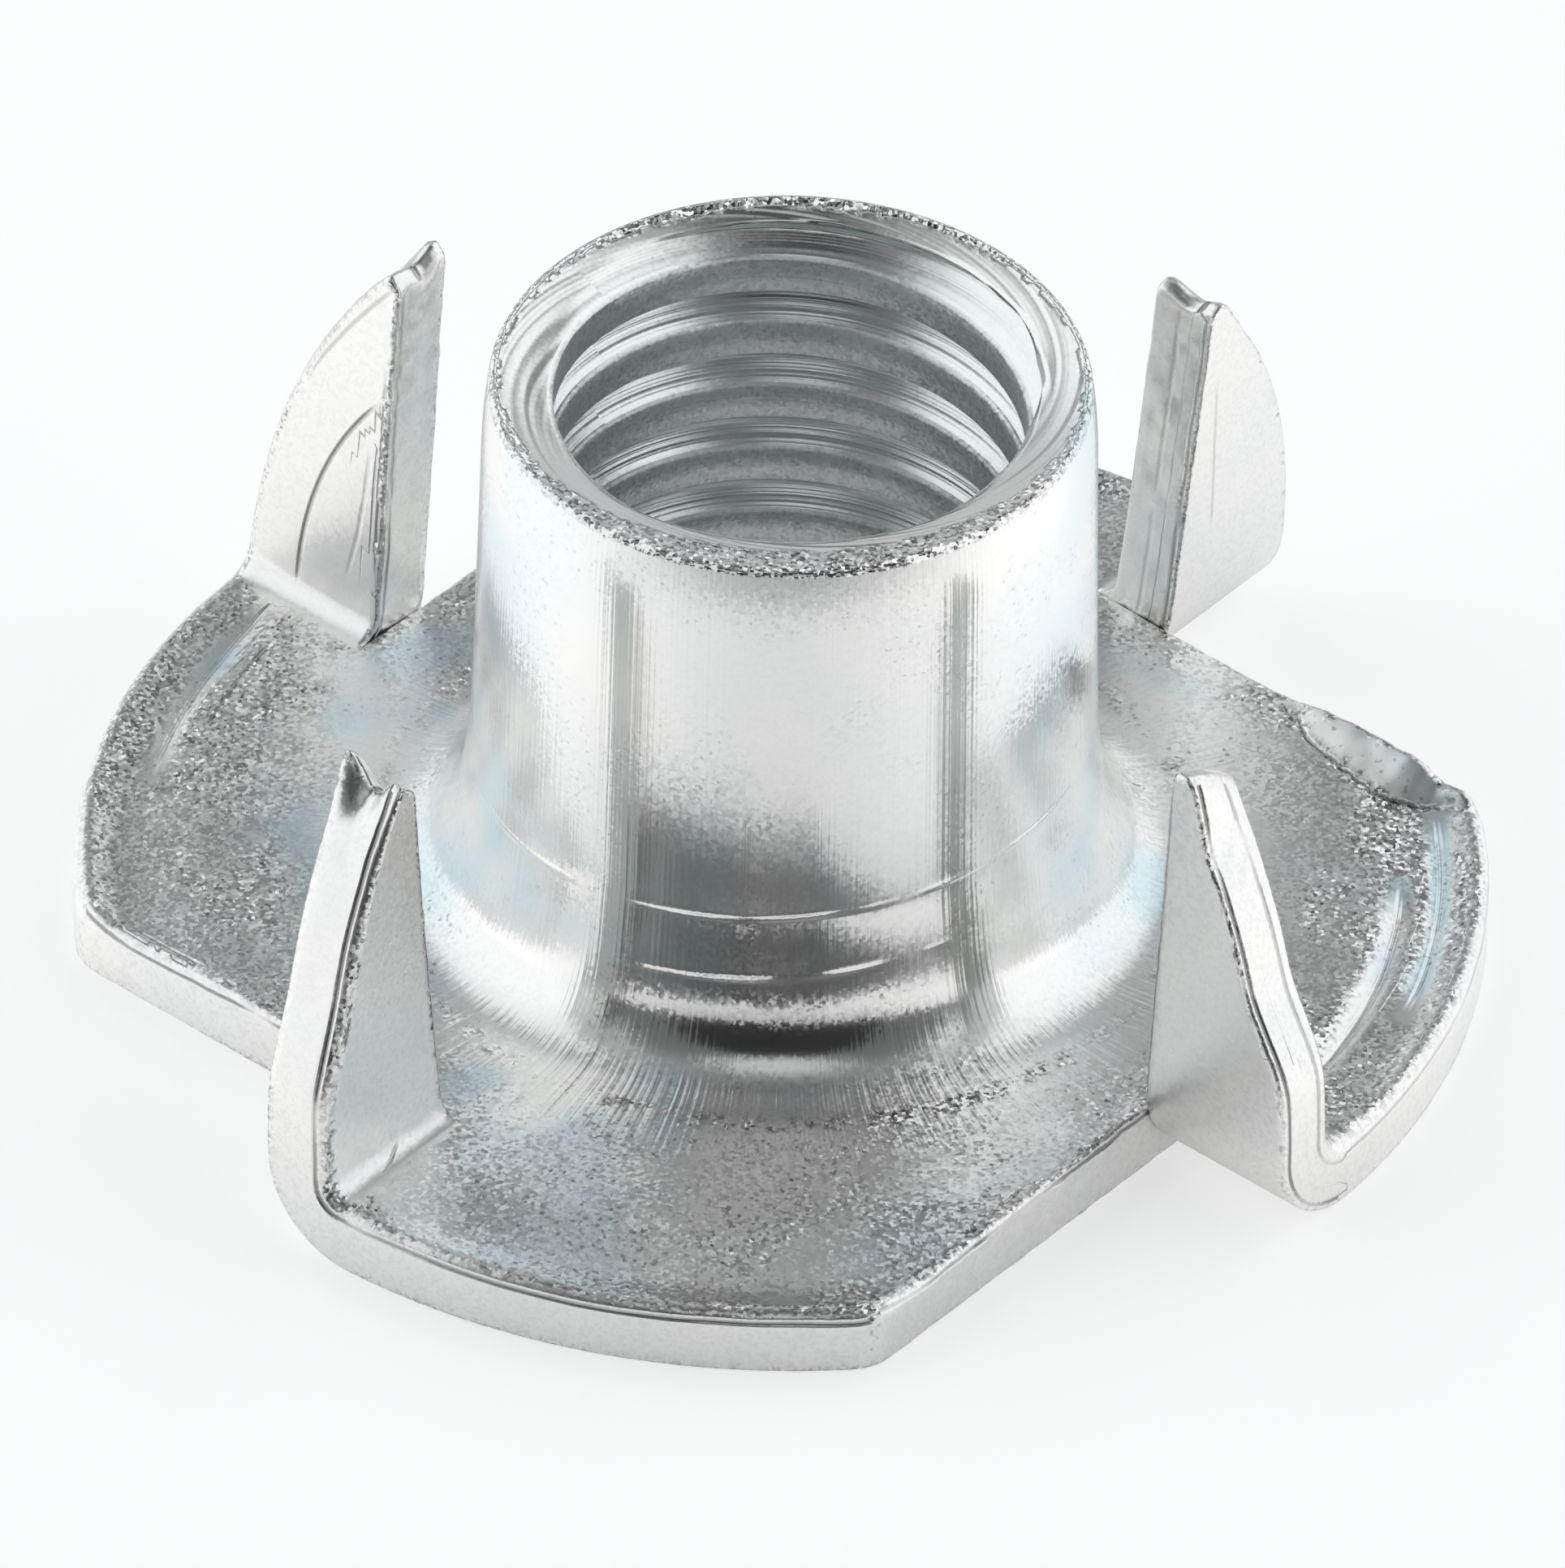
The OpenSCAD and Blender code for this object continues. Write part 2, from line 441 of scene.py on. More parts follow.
def lobe_masks(s, at):
    """The masks of a lobe's faces. On top, calm is 1 near the barrel and on the lip, where the sheet was
    rubbed smooth, over the front lobe and in the die's marks, and 0 where its grain is left."""
    if at.flat[2] < 0.5 * s.sheet:
        return {}
    x, y = at[..., 0] / MM, at[..., 1] / MM
    r, cut = np.hypot(x, y), s.cut / MM
    patchy = noise(at, 1.5 * MM, 51) + 0.5 * noise(at, 0.6 * MM, 52)
    calm = smooth(8.9, 7.0, r + 1.2 * patchy)
    front = np.cos(np.arctan2(y, x) - FRONT)
    calm = np.maximum(calm, smooth(0.7, 0.9, front) * (0.55 + 0.25 * patchy))
    for run, _ in DIE_MARKS:
        calm = np.maximum(calm, 1.1 * smooth(0.30, 0.12, np.abs(apart(at, run)[0])))
    on_lip = (y > cut + 0.05 - np.interp(x, LIP_X, LIP_IN, left=0, right=0)) & (y < cut + 0.01)
    calm = np.maximum(calm, 1.3 * (on_lip & (x < 6.9)))
    return {"calm": calm, **scored(at, SCORES)}


class Blank:
    """The flat blank in the frame of one prong: x runs out along the prong's fold, and the prong
    lies below the fold line until it is folded up. The lobe that carries it lies above that line."""

    def __init__(self, s, prong):
        self.s, self.prong = s, prong
        self.turn = QUARTER - LEANS[prong]
        self.taken = self.turn * (s.fold_r + s.neutral * s.sheet)

    def spun(self, p):
        """Points turned from this prong's frame to the nut's own."""
        a = self.prong * QUARTER
        x, y = p[..., 0], p[..., 1]
        return np.stack([x * cos(a) - y * sin(a), x * sin(a) + y * cos(a), p[..., 2]], -1)

    def folded(self, p):
        """Points of the flat prong carried round its fold. Past the fold line a point first turns
        about a line that runs fold_r above the sheet, and then goes straight on."""
        s = self.s
        past = np.maximum(s.fold_lead - p[..., 1], 0)
        angle = np.minimum(past / self.taken, 1) * self.turn
        straight = np.maximum(past - self.taken, 0)
        reach = s.fold_r + s.sheet - p[..., 2]
        ahead = np.maximum(p[..., 1], s.fold_lead)
        y = ahead - (reach * np.sin(angle) + straight * np.cos(angle))
        z = s.fold_r + s.sheet - reach * np.cos(angle) + straight * np.sin(angle)
        return np.stack([p[..., 0], y, z], -1)


class Edge:
    """A stretch of the blank's outline with the shape of its edge. Along it, inset and drop say how far
    in and how far down the rounding of its top goes, and torn how rough the edge is."""

    def __init__(self, kind, run, cells, inset, drop, torn):
        self.kind = kind
        self.points, self.normal = spaced(run, cells)
        share = np.linspace(0, 1, cells + 1)
        self.inset, self.drop, self.torn = (
            np.interp(share, np.linspace(0, 1, len(v)), v) for v in (inset, drop, torn))
        # At the root of a cut the lower corner fades out with the top's rounding
        self.fade = smooth(0, FULL_INSET, self.inset)
        self.foot_in = LOWER_EDGE * self.fade

    def top(self):
        return self.points - self.inset[:, None] * self.normal

    def base(self):
        return self.points - self.foot_in[:, None] * self.normal

    def wall(self, sheet, place):
        """Grid over the edge from its top to its foot: a quarter ellipse, a wall and a second quarter
        ellipse. The wall is pushed in and out by EVEN, and by TORN more where it is torn, times
        place(points), a number from -1 to 1."""
        inset, drop, foot_in = (v[:, None] for v in (self.inset, self.drop, self.foot_in))
        foot = np.full_like(inset, LOWER_EDGE)
        a = np.linspace(0, QUARTER, EDGE_TOP + 1)[None]
        w = np.linspace(0, 1, EDGE_WALL + 1)[None, 1:]
        b = np.linspace(0, QUARTER, EDGE_FOOT + 1)[None, 1:]
        out = np.concatenate([-inset * (1 - np.sin(a)), 0 * inset * w, -foot_in * (1 - np.cos(b))], 1)
        up = np.concatenate([sheet - drop * (1 - np.cos(a)), (sheet - drop) * (1 - w) + foot * w,
                             foot * (1 - np.sin(b))], 1)
        xy = self.points[:, None] + out[..., None] * self.normal[:, None]
        flat = np.concatenate([xy, up[..., None]], -1)
        inner = np.sqrt(np.maximum(np.sin(np.linspace(0, pi, out.shape[1])), 0))
        push = ((EVEN + TORN * self.torn) * self.fade)[:, None] * inner * place(flat)
        flat[..., :2] += push[..., None] * self.normal[:, None]
        return flat


def lobe_edges(s):
    """The three stretches of a lobe's outline: its rim, the outer end of its cut, and the cut along
    the web. They run from the fold line to the root of the next prong."""
    r, c, e = s.flange_r, s.cut, s.corner_r
    corner = atan2(c, sqrt(r * r - c * c))
    meet = (r * cos(corner), c)
    before = corner - e / r
    after = (meet[0] - e, c)
    turn = eased((r * cos(before), r * sin(before)), meet, after)
    half = len(turn) // 2
    rim = chain(arc((0, 0), r, asin(s.fold_lead / r), before), turn[:half + 1])
    outer = chain(turn[half:], line(after, (BAND_X, c)))
    inner = line((BAND_X, c), (-s.fold_lead, c))

    def rolls(*shares):
        return s.rim_roll * np.array(shares)

    return (Edge("rim", rim, RIM, rolls(1, 1, 1, 1.2), rolls(1, 1, 1, 1.2), (0,)),
            Edge("cut", outer, ACROSS, rolls(1.2, 0.6, 0.4), rolls(1.2, 0.6, 0.5), (0, 0.4, 0.6)),
            Edge("cut", inner, WEB, rolls(0.4, 0.4, 0.35, 0), rolls(0.5, 0.4, 0.2), (0.6, 0.8, 1)))


def tip_top(s, tip):
    """The outer corner of a prong's tip: its width past the cut, on the rim where that was pushed in."""
    x = s.cut + tip.width * MM
    return x, -sqrt((s.flange_r - tip.push * MM) ** 2 - x ** 2)


def prong_edges(s, prong):
    """The three stretches of a prong's outline: the inner edge that the cut freed, the tip, and the
    blank's own rim back to the fold line."""
    r, c, torn = s.flange_r, s.cut, TIPS[prong]
    ease, soft, roll = torn.ease * MM, torn.soft * MM, s.rim_roll
    top = tip_top(s, torn)
    side = (c, top[1] + torn.fall * MM)
    slope = np.array(top) - side
    slope = slope / np.linalg.norm(slope)
    first = eased((c, side[1] + ease), side, side + ease * slope)
    rim_angle = atan2(top[1], top[0]) + ease / r
    rim = arc((0, 0), r, rim_angle, asin(s.fold_lead / r))
    rim *= 1 - torn.push * MM / r * smooth(-1.6 * MM, -3.6 * MM, rim[:, 1:])
    second = eased(top - ease * slope, top, rim[0])
    half = len(first) // 2
    inner = chain(line((c, s.fold_lead), first[0]), first[:half + 1])
    tip = chain(first[half:], line(first[-1], second[0]), second[:half + 1])
    rim = chain(second[half:], rim)
    return (
        Edge("cut", inner, ALONG, (0, 0.35 * roll, 0.4 * roll, 0.4 * roll, soft),
             (0.2 * roll, 0.4 * roll, 0.4 * roll, 0.4 * roll, soft), TEARS[prong]),
        Edge("cut", tip, ACROSS, (soft,), (soft,), (TEARS[prong][-1], 1)),
        Edge("rim", rim, ALONG, (soft, 0.7 * roll, roll, roll), (soft, 0.7 * roll, roll, roll),
             (1, 0.2, 0, 0, 0)))


def flat_points(xy, height):
    """Points in the plane set at one height."""
    return np.concatenate([xy, np.full(xy.shape[:-1] + (1,), height)], -1)


def add_quarter(shell, s, prong):
    """The lobe that carries one prong, the prong itself and their edges. Returns the outline of the
    web's part of the lobe on top and below, which the web's ring of faces meets."""
    blank = Blank(s, prong)
    rim, outer, inner = lobe_edges(s)
    side, tip, back = prong_edges(s, prong)
    root = np.array([s.cut, s.fold_lead])

    def place(p):
        at = blank.spun(p)
        return 0.65 * noise(at, 0.30 * MM, 3) + 0.35 * noise(at, 0.13 * MM, 4)

    def lobe_shape(p):
        return pressed(s, blank.spun(blank.folded(p)))

    def prong_shape(p):
        return blank.spun(blank.folded(tip_shape(waved(s, p, blank.spun(p)), s, prong)))

    outlines = []
    for height, pick in ((s.sheet, Edge.top), (0.0, Edge.base)):
        rim_run, outer_run, inner_run = pick(rim), pick(outer), pick(inner)
        fold = line(root, rim_run[0], ACROSS + 1)
        angle = np.linspace(atan2(root[1], root[0]), atan2(outer_run[-1][1], outer_run[-1][0]), RIM + 1)
        away = np.linspace(hypot(*root), hypot(*outer_run[-1]), RIM + 1)
        band = away[:, None] * np.stack([np.cos(angle), np.sin(angle)], 1)
        lobe = flat_points(coons(band, rim_run, fold, outer_run[::-1]), height)
        shell.grid(lobe_shape(lobe), **lobe_masks(s, blank.spun(lobe)))
        leaf = flat_points(coons(pick(side), pick(back)[::-1], fold, pick(tip)), height)
        lines = CREASES.get((prong, height > 0), ())
        shell.grid(prong_shape(leaf), prong=1, **scored(leaf, lines))
        outlines.append(blank.spun(flat_points(chain(band, inner_run), height))[:-1])
    edges = {"rim": rim, "outer": outer, "inner": inner, "side": side, "tip": tip, "back": back}
    for name, edge in edges.items():
        shape = lobe_shape if name in ("rim", "outer", "inner") else prong_shape
        flat = edge.wall(s.sheet, place)
        fade = np.minimum(np.linspace(0, 4, flat.shape[1]), 1)
        fade = np.minimum(fade, fade[::-1])
        seams = SEAMS.get((prong, name), ())
        shell.grid(shape(flat), **{edge.kind: fade}, **seamed(flat, blank.spun(flat), seams))
    return outlines


def tip_shape(p, s, prong):
    """The torn end of a prong: within a short way of the tip its outer skin is drawn up and the middle
    of its thickness sinks into a notch."""
    tip = TIPS[prong]
    near = smooth(0.9 * MM, 0, p[..., 1] - tip_top(s, tip)[1])
    depth = p[..., 2] / s.sheet
    lift = tip.drawn * smooth(tip.skin, 0, depth) - tip.notch * smooth(0.38, 0, np.abs(depth - 0.48))
    out = p.copy()
    out[..., 1] -= near * lift * MM
    return out


def waved(s, p, at):
    """Gentle waves in the top of the sheet, which fade out towards the barrel's foot: 0.012 mm times
    noise, by the share of the thickness. p moves; at is the same points in the nut's own frame."""
    out = p.copy()
    share = np.clip(p[..., 2] / s.sheet, 0, 1)
    away = smooth(WEB_R, WEB_R + 0.8 * MM, np.hypot(at[..., 0], at[..., 1]))
    out[..., 2] += 0.012 * MM * share * noise(at * [1, 1, 0], 2.3 * MM, 11) * away
    return out


def lip_rise(at, along, inward):
    """The lip that the cut turned up, uneven by a tenth, with a groove 0.045 mm deep at its inner side.
    Along is the place on the cut and inward the distance from it, in millimetres."""
    start = np.interp(along, LIP_X, LIP_IN)
    up = np.interp(along, LIP_X, LIP_UP, left=0, right=0)
    rough = 1 + 0.10 * noise(at * [1, 1, 0], 0.3 * MM, 31)
    lip = up * rough * np.clip(1 - inward / start, 0, 1) ** 1.15
    return lip - 0.045 * smooth(0.12, 0, np.abs(inward - start - 0.04)) * smooth(0, 0.12, up)


def pressed(s, at):
    """The top of the lobes as the die left it, by the share of the thickness: waves, a shallow ring
    0.12 mm deep between 8.9 and 11 mm from the axis, the die's marks 0.085 mm deep, the lip along the
    first cut, and thin ridges along the others."""
    p = waved(s, at, at)
    share = np.clip(at[..., 2] / s.sheet, 0, 1)
    x, y = at[..., 0] / MM, at[..., 1] / MM
    r = np.hypot(x, y)
    lobe = np.floor((np.arctan2(y, x) - 0.04) / QUARTER) % 4
    turn = lobe * QUARTER
    along = x * np.cos(turn) + y * np.sin(turn)
    beside = y * np.cos(turn) - x * np.sin(turn)
    inward = s.cut / MM - beside
    rise = -0.12 * smooth(8.9, 10.2, r) * smooth(10.98, 10.3, r) * smooth(0.7, 2.2, beside)
    for run, strength in DIE_MARKS:
        gap, along_run = apart(at, run)
        band = smooth(0.26, 0.0, np.abs(gap)) * smooth(0, 0.2, along_run) * smooth(1, 0.8, along_run)
        rise = rise + 0.085 * strength * band * smooth(0.6, 1.3, beside)
    rise = rise + np.where((lobe == 0) & (beside > 0.7), lip_rise(at, along, inward), 0)
    for which, first, last, distance, height in BURRS:
        ridge = smooth(0.12, 0, np.abs(inward - distance - 0.03 * np.sin(3 * along)))
        ridge = ridge * smooth(first, first + 0.5, along) * smooth(last, last - 0.5, along)
        rise = rise + np.where((lobe == which) & (beside > 0.7), height * ridge, 0)
    p[..., 2] += rise * MM * share
    return p


# ---------------- web, barrel and bore


def around(angles, r, z):
    """Points at distance r and height z, at each angle round the axis."""
    angles, r, z = np.broadcast_arrays(angles, r, z)
    return np.stack([r * np.cos(angles), r * np.sin(angles), z], -1)


def web_angles(s):
    """Angles of the web's spokes: they end evenly along each lobe's inner line and along each cut."""
    lead = atan2(s.fold_lead, s.cut)
    turn = atan2(s.cut, BAND_X)
    quarter = np.concatenate([np.linspace(lead, turn, RIM + 1)[:-1],
                              np.linspace(turn, lead + QUARTER, WEB + 1)[:-1]])
    return np.concatenate([quarter + i * QUARTER for i in range(len(LEANS))])


def add_web(shell, s, angles, outline, height, rows):
    """Ring of faces between the circle round the barrel's foot and the lobes' inner outline, pressed
    like the lobes."""
    inner = around(angles, WEB_R, height)
    share = np.linspace(0, 1, rows + 1)[:, None, None]
    flat = (1 - share) * inner + share * outline
    shell.grid(pressed(s, flat), closed=True, **lobe_masks(s, flat))
    return inner


# Rings that the die left round the foot: height, height of the ridge, and how far round it shows
RINGS = ((3.9, 0.016, 1.5), (2.8, 0.016, 0.6))
RING_LEAN = 0.08
# Rows up the barrel, rows over the last stretch of its profile, that stretch's length, and the places
# of the extra rows at a ring, in millimetres
BARREL_ROWS, MOUTH_ROWS, MOUTH_RUN = 66, 22, 1.1 * MM
RING_ROWS = (-0.13, -0.08, -0.045, 0, 0.045, 0.08, 0.13)
# Where the mouth's face rounds over into the countersink: how far out that starts and how deep it goes
BREAK_OUT, BREAK_DOWN = 0.04 * MM, 0.03 * MM
# Width of the ring of three-sided faces inside the web, on top and below
STEP_TOP, STEP_BELOW = 0.17 * MM, 0.20 * MM
# Half of a thread crest's flat, as a share of the pitch
CREST = 0.24
# The rows that climb with the thread lie between ENTRY_LOW and SINK_DEPTH under the mouth's edge. Above
# them SINK_ROWS level rows reach that edge.
ENTRY_LOW, SINK_DEPTH, SINK_ROWS = 0.2 * MM, 0.3 * MM, 11


def barrel_profile(s):
    """The barrel's outer profile as distance and height, from the web up to the mouth: flat, fillet,
    flared foot, slightly tapered wall, drawn-in nose, rounded rim and the mouth's face."""
    top, face = s.height, s.height - s.mouth_fall
    fillet, shoulder = (s.foot_r, s.sheet + s.fillet_h), (s.wall_r + 0.01 * MM, s.sheet + s.foot_h)
    nose, rim = (s.wall_r - 0.11 * MM, top - s.nose), (s.mouth_rim_r, top - s.mouth_edge)
    flat, corner = (s.foot_r + 1.3 * MM, s.sheet), (s.mouth_rim_r - s.mouth_edge, top)
    inner = (s.mouth_r + BREAK_OUT, face)
    return chain(
        line((WEB_R - STEP_TOP, s.sheet), flat, 8),
        eased(flat, (s.foot_r + 0.2 * MM, s.sheet), fillet),
        line(fillet, shoulder),
        eased(shoulder, (s.wall_r - 0.02 * MM, shoulder[1] + MM), nose),
        eased(nose, (nose[0] - 0.02 * MM, top - 0.5 * s.nose), rim),
        eased(rim, (s.mouth_rim_r - 0.02 * MM, top), corner),
        line(corner, inner),
        eased(inner, (s.mouth_r + 0.01 * MM, face), (s.mouth_r, face - BREAK_DOWN)))


def off_centre(s, points, weight):
    """Points moved out or in by weight as the countersink was cut: off centre, and slightly oval."""
    turn = np.arctan2(points[..., 1], points[..., 0]) - FRONT
    out = -s.sink_off * np.cos(turn) - s.sink_oval * np.cos(2 * turn)
    share = 1 + weight * out / np.hypot(points[..., 0], points[..., 1])
    return points * np.stack([share, share, np.ones_like(share)], -1)


def barrel_rows(s):
    """Distance and height of each row up the barrel, closer together at the rings and the mouth, and a
    function that gives the wall's radius at a height."""
    profile = barrel_profile(s)
    along = lengths(profile)
    fine = along[-1] - MOUTH_RUN
    above = np.arange(len(profile)) > np.argmax(profile[:, 1] > s.sheet + 0.02 * MM)
    wall_r, wall_z, wall_along = np.column_stack([profile, along])[above & (along < fine)].T
    ring_rows = [np.interp(z * MM, wall_z, wall_along) + np.array(RING_ROWS) * MM for z, _, _ in RINGS]
    marks = np.sort(np.concatenate([np.linspace(0, fine, BARREL_ROWS)[:-1],
                                    np.linspace(fine, along[-1], MOUTH_ROWS), *ring_rows]))
    r, z = (np.interp(marks, along, profile[:, k])[:, None] for k in (0, 1))
    return r, z, lambda height: np.interp(height, wall_z, wall_r)


def add_barrel(shell, s, half, web_circle):
    """The outside of the barrel, turned from its profile, with half as many spokes as the web. The
    rings round the foot lean a little: there, a row rises by a share of its distance to the right. The
    mouth's face is rough: it rises and falls by 0.016 mm times noise."""
    r, z, wall_r = barrel_rows(s)
    lean = RING_LEAN * smooth(1.6 * MM, 2.4 * MM, z) * smooth(5.8 * MM, 4.6 * MM, z)
    up = z + lean * r * np.cos(half - FRONT - QUARTER)
    r = np.where(lean > 0, wall_r(up), r)
    for height, ridge, reach in RINGS:
        shown = smooth(reach, 0.6 * reach, np.abs((half - FRONT + pi) % (2 * pi) - pi))
        broken = smooth(-0.5, 0.4, noise(around(half, s.wall_r, z), 0.7 * MM, 17))
        r = r + ridge * MM * shown * broken * smooth(0.07 * MM, 0, np.abs(z - height * MM))
    outer, inner = s.mouth_rim_r - s.mouth_edge, s.mouth_r + BREAK_OUT
    high = z > s.height - 0.5 * MM
    points = off_centre(s, around(half, r, up), np.clip((outer - r) / (outer - inner), 0, 1) * high)
    face = smooth(s.mouth_rim_r, outer, r) * smooth(s.mouth_r, inner, r) * high
    points[..., 2] += face * 0.016 * MM * (noise(points, 0.17 * MM, 8) - 1)
    barrel = smooth(s.sheet, s.sheet + 0.6 * MM, points[..., 2])
    shell.grid(points, closed=True, barrel=barrel, calm=1)
    shell.step(points[0], web_circle)


def mouth_z(s):
    """Height at which the mouth's face turns into the countersink."""
    return s.height - s.mouth_fall - BREAK_DOWN


def thread_radius(s, angle, z):
    """Radius of the threaded bore. The phase of a height is its distance along the helix from the
    middle of a crest; a crest is flat, its flanks slope at 30 degrees from level, and roots are flat.
    The countersink and the rounded entry cut into it."""
    phase = z - s.thread_start - s.pitch * angle / (2 * pi)
    phase = np.mod(phase + s.pitch / 2, s.pitch) - s.pitch / 2
    thread = np.clip(s.bore_r + (np.abs(phase) - CREST * s.pitch) * sqrt(3), s.bore_r, s.thread_r)
    sink = s.mouth_r - (mouth_z(s) - z) / tan(s.sink)
    below = np.clip(s.entry_r - z, 0, s.entry_r)
    entry = s.bore_r + s.entry_r - np.sqrt(s.entry_r ** 2 - below ** 2)
    return np.maximum(thread, np.maximum(sink, entry))


def add_bore(shell, s, half):
    """The threaded bore. Its rows climb with the helix, so that each crest's edges lie along a row, and
    are held at the entry and under the countersink, where the rows they pass close up. The rows of the
    countersink are level."""
    crest, root, soft = CREST * s.pitch, 0.5 * s.pitch - 0.03 * MM, 0.02 * MM
    part = [crest - soft, crest + soft, (crest + root) / 2, root]
    marks = np.array([-v for v in part[::-1]] + [0] + part)
    low, high = ENTRY_LOW, mouth_z(s) - SINK_DEPTH
    turns = np.arange(-2, int((high - low) / s.pitch) + 2)
    rows = (s.thread_start + turns[:, None] * s.pitch + marks).ravel()
    climbing = np.clip(rows[:, None] + s.pitch * half / (2 * pi), low, high)
    level = np.linspace(high, mouth_z(s), SINK_ROWS)[:, None] + 0 * half
    for z, shift in ((climbing, len(marks)), (level, 0)):
        r = thread_radius(s, half, z)
        weight = smooth(high - 0.6 * MM, high - 0.1 * MM, z) * smooth(s.bore_r, s.bore_r + 0.3 * MM, r)
        shell.grid(off_centre(s, around(half, r, z), weight), closed=True, shift=shift, bore=1)


def add_underside(shell, s, half, web_circle):
    """The flat and the rounded entry under the barrel, up to the bore's first row."""
    start = np.arccos((s.entry_r - ENTRY_LOW) / s.entry_r)
    flat_r = s.bore_r + s.entry_r
    run = chain(line((WEB_R - STEP_BELOW, 0), (flat_r, 0), 6),
                arc((flat_r, s.entry_r), s.entry_r, -QUARTER, -QUARTER - start, 7))
    points = around(half, run[:, :1], run[:, 1:])
    shell.grid(points, closed=True)
    shell.step(points[0], web_circle)


# ---------------- finish


class Nodes:
    """Shader nodes of one tree. Each method takes numbers or sockets, makes the nodes that they feed,
    and returns what comes out. Only add returns the node itself."""

    def __init__(self, tree):
        self.tree = tree
        tree.nodes.clear()

    def feed(self, socket, value):
        if isinstance(value, bpy.types.NodeSocket):
            self.tree.links.new(value, socket)
        elif socket.type == "RGBA" and len(value) == 3:
            socket.default_value = (*value, 1)
        else:
            socket.default_value = value

    def add(self, kind, feeds=None, **settings):
        node = self.tree.nodes.new("ShaderNode" + kind)
        for name, value in settings.items():
            setattr(node, name, value)
        for name, value in (feeds or {}).items():
            self.feed(node.inputs[name], value)
        return node

    def math(self, operation, *values):
        return self.add("Math", dict(enumerate(values)), operation=operation).outputs[0]

    def total(self, *values):
        return reduce(partial(self.math, "ADD"), values)

    def product(self, *values):
        return reduce(partial(self.math, "MULTIPLY"), values)

    def ramp(self, value, start, end, low=0.0, high=1.0):
        """A smooth step from low at start to high at end."""
        feeds = {"Value": value, "From Min": start, "From Max": end, "To Min": low, "To Max": high}
        return self.add("MapRange", feeds, interpolation_type="SMOOTHSTEP").outputs["Result"]

    def noise(self, vector, scale, detail=0.0):
        feeds = {"Vector": vector, "Scale": scale, "Detail": detail}
        return self.add("TexNoise", feeds).outputs["Fac"]

    def join(self, x, y, z):
        return self.add("CombineXYZ", {"X": x, "Y": y, "Z": z}).outputs[0]

    def colour(self, factor, a, b):
        node = self.add("Mix", data_type="RGBA")
        for socket, value in zip((node.inputs[0], node.inputs[6], node.inputs[7]), (factor, a, b)):
            self.feed(socket, value)
        return node.outputs[2]

    def mask(self, name):
        return self.add("Attribute", attribute_name=name).outputs["Fac"]

    def weighed(self, masks, **shares):
        """The sum of the named masks, each times its share."""
        return self.total(*(self.product(getattr(masks, k), v) for k, v in shares.items()))

    def split(self, vector):
        return self.add("SeparateXYZ", {0: vector}).outputs

    def vector(self, operation, *values):
        """What one of the VectorMath operations gives."""
        node = self.add("VectorMath", dict(enumerate(values)), operation=operation)
        return node.outputs["Value" if operation in ("LENGTH", "DOT_PRODUCT") else "Vector"]

    def scaled(self, vector, scale):
        return self.add("VectorMath", {0: vector, "Scale": scale}, operation="SCALE").outputs["Vector"]

    def turned(self, vector, angle):
        """A vector turned about the upright axis."""
        feeds = {"Vector": vector, "Angle": angle}
        return self.add("VectorRotate", feeds, rotation_type="Z_AXIS").outputs["Vector"]


def new_material(name):
    """A material and the nodes of its empty tree."""
    material = bpy.data.materials.new(name)
    material.use_nodes = True
    return material, Nodes(material.node_tree)


# Crystals of the plate along a millimetre, and how far the strongest of them tilt the surface
GRAIN, TILT = 17.0, 0.6


def zinc_masks(n, s):
    """The masks and places, in millimetres, that the look of the plate depends on."""
    m = SimpleNamespace(**{name: n.mask(name) for name in (*Shell.MASKS, *Shell.PATCHES)})
    m.place = n.scaled(n.add("TexCoord").outputs["Object"], 1 / MM)
    x, y, m.z = n.split(m.place)
    m.r = n.math("SQRT", n.total(n.product(x, x), n.product(y, y)))
    m.angle = n.math("ARCTAN2", y, x)
    m.inside = n.ramp(m.bore, 0.0, 0.5)
    m.edge = n.math("MAXIMUM", m.rim, m.cut)
    drawn = n.math("MAXIMUM", m.barrel, m.inside)
    m.flat = n.product(*(n.ramp(v, 0.0, 1.0, 1.0, 0.0) for v in (drawn, m.prong, m.edge)))
    m.web = n.product(n.ramp(m.r, 5.5, 6.0), n.ramp(m.r, 7.1, 7.6, 1.0, 0.0), m.flat)
    m.below_mouth = n.math("SUBTRACT", s.height / MM, m.z)
    m.mouth = n.product(n.ramp(m.below_mouth, 0.15, 0.08), m.barrel)
    m.crest = n.product(n.ramp(m.r, s.bore_r / MM + 0.10, s.bore_r / MM + 0.02), m.inside)
    m.patchy = n.ramp(m.grainy, 0.38, 0.62)
    return m


def zinc_grain(n, m):
    """The grain, crystals a few hundredths of a millimetre across: its strength, which goes by the kind
    of surface and is uneven, and a random colour for each crystal."""
    coarse = n.total(n.product(m.calm, -0.75), 1.0)
    amount = n.total(n.product(m.flat, coarse, n.ramp(m.patchy, 0, 1, 0.45, 1.0)),
                     n.product(m.barrel, n.ramp(m.patchy, 0, 1, 0.04, 0.09)),
                     n.weighed(m, prong=0.10, edge=0.12, mouth=1.1, inside=0.05, crest=0.25))
    return amount, n.add("TexVoronoi", {"Vector": m.place, "Scale": GRAIN}).outputs["Color"]


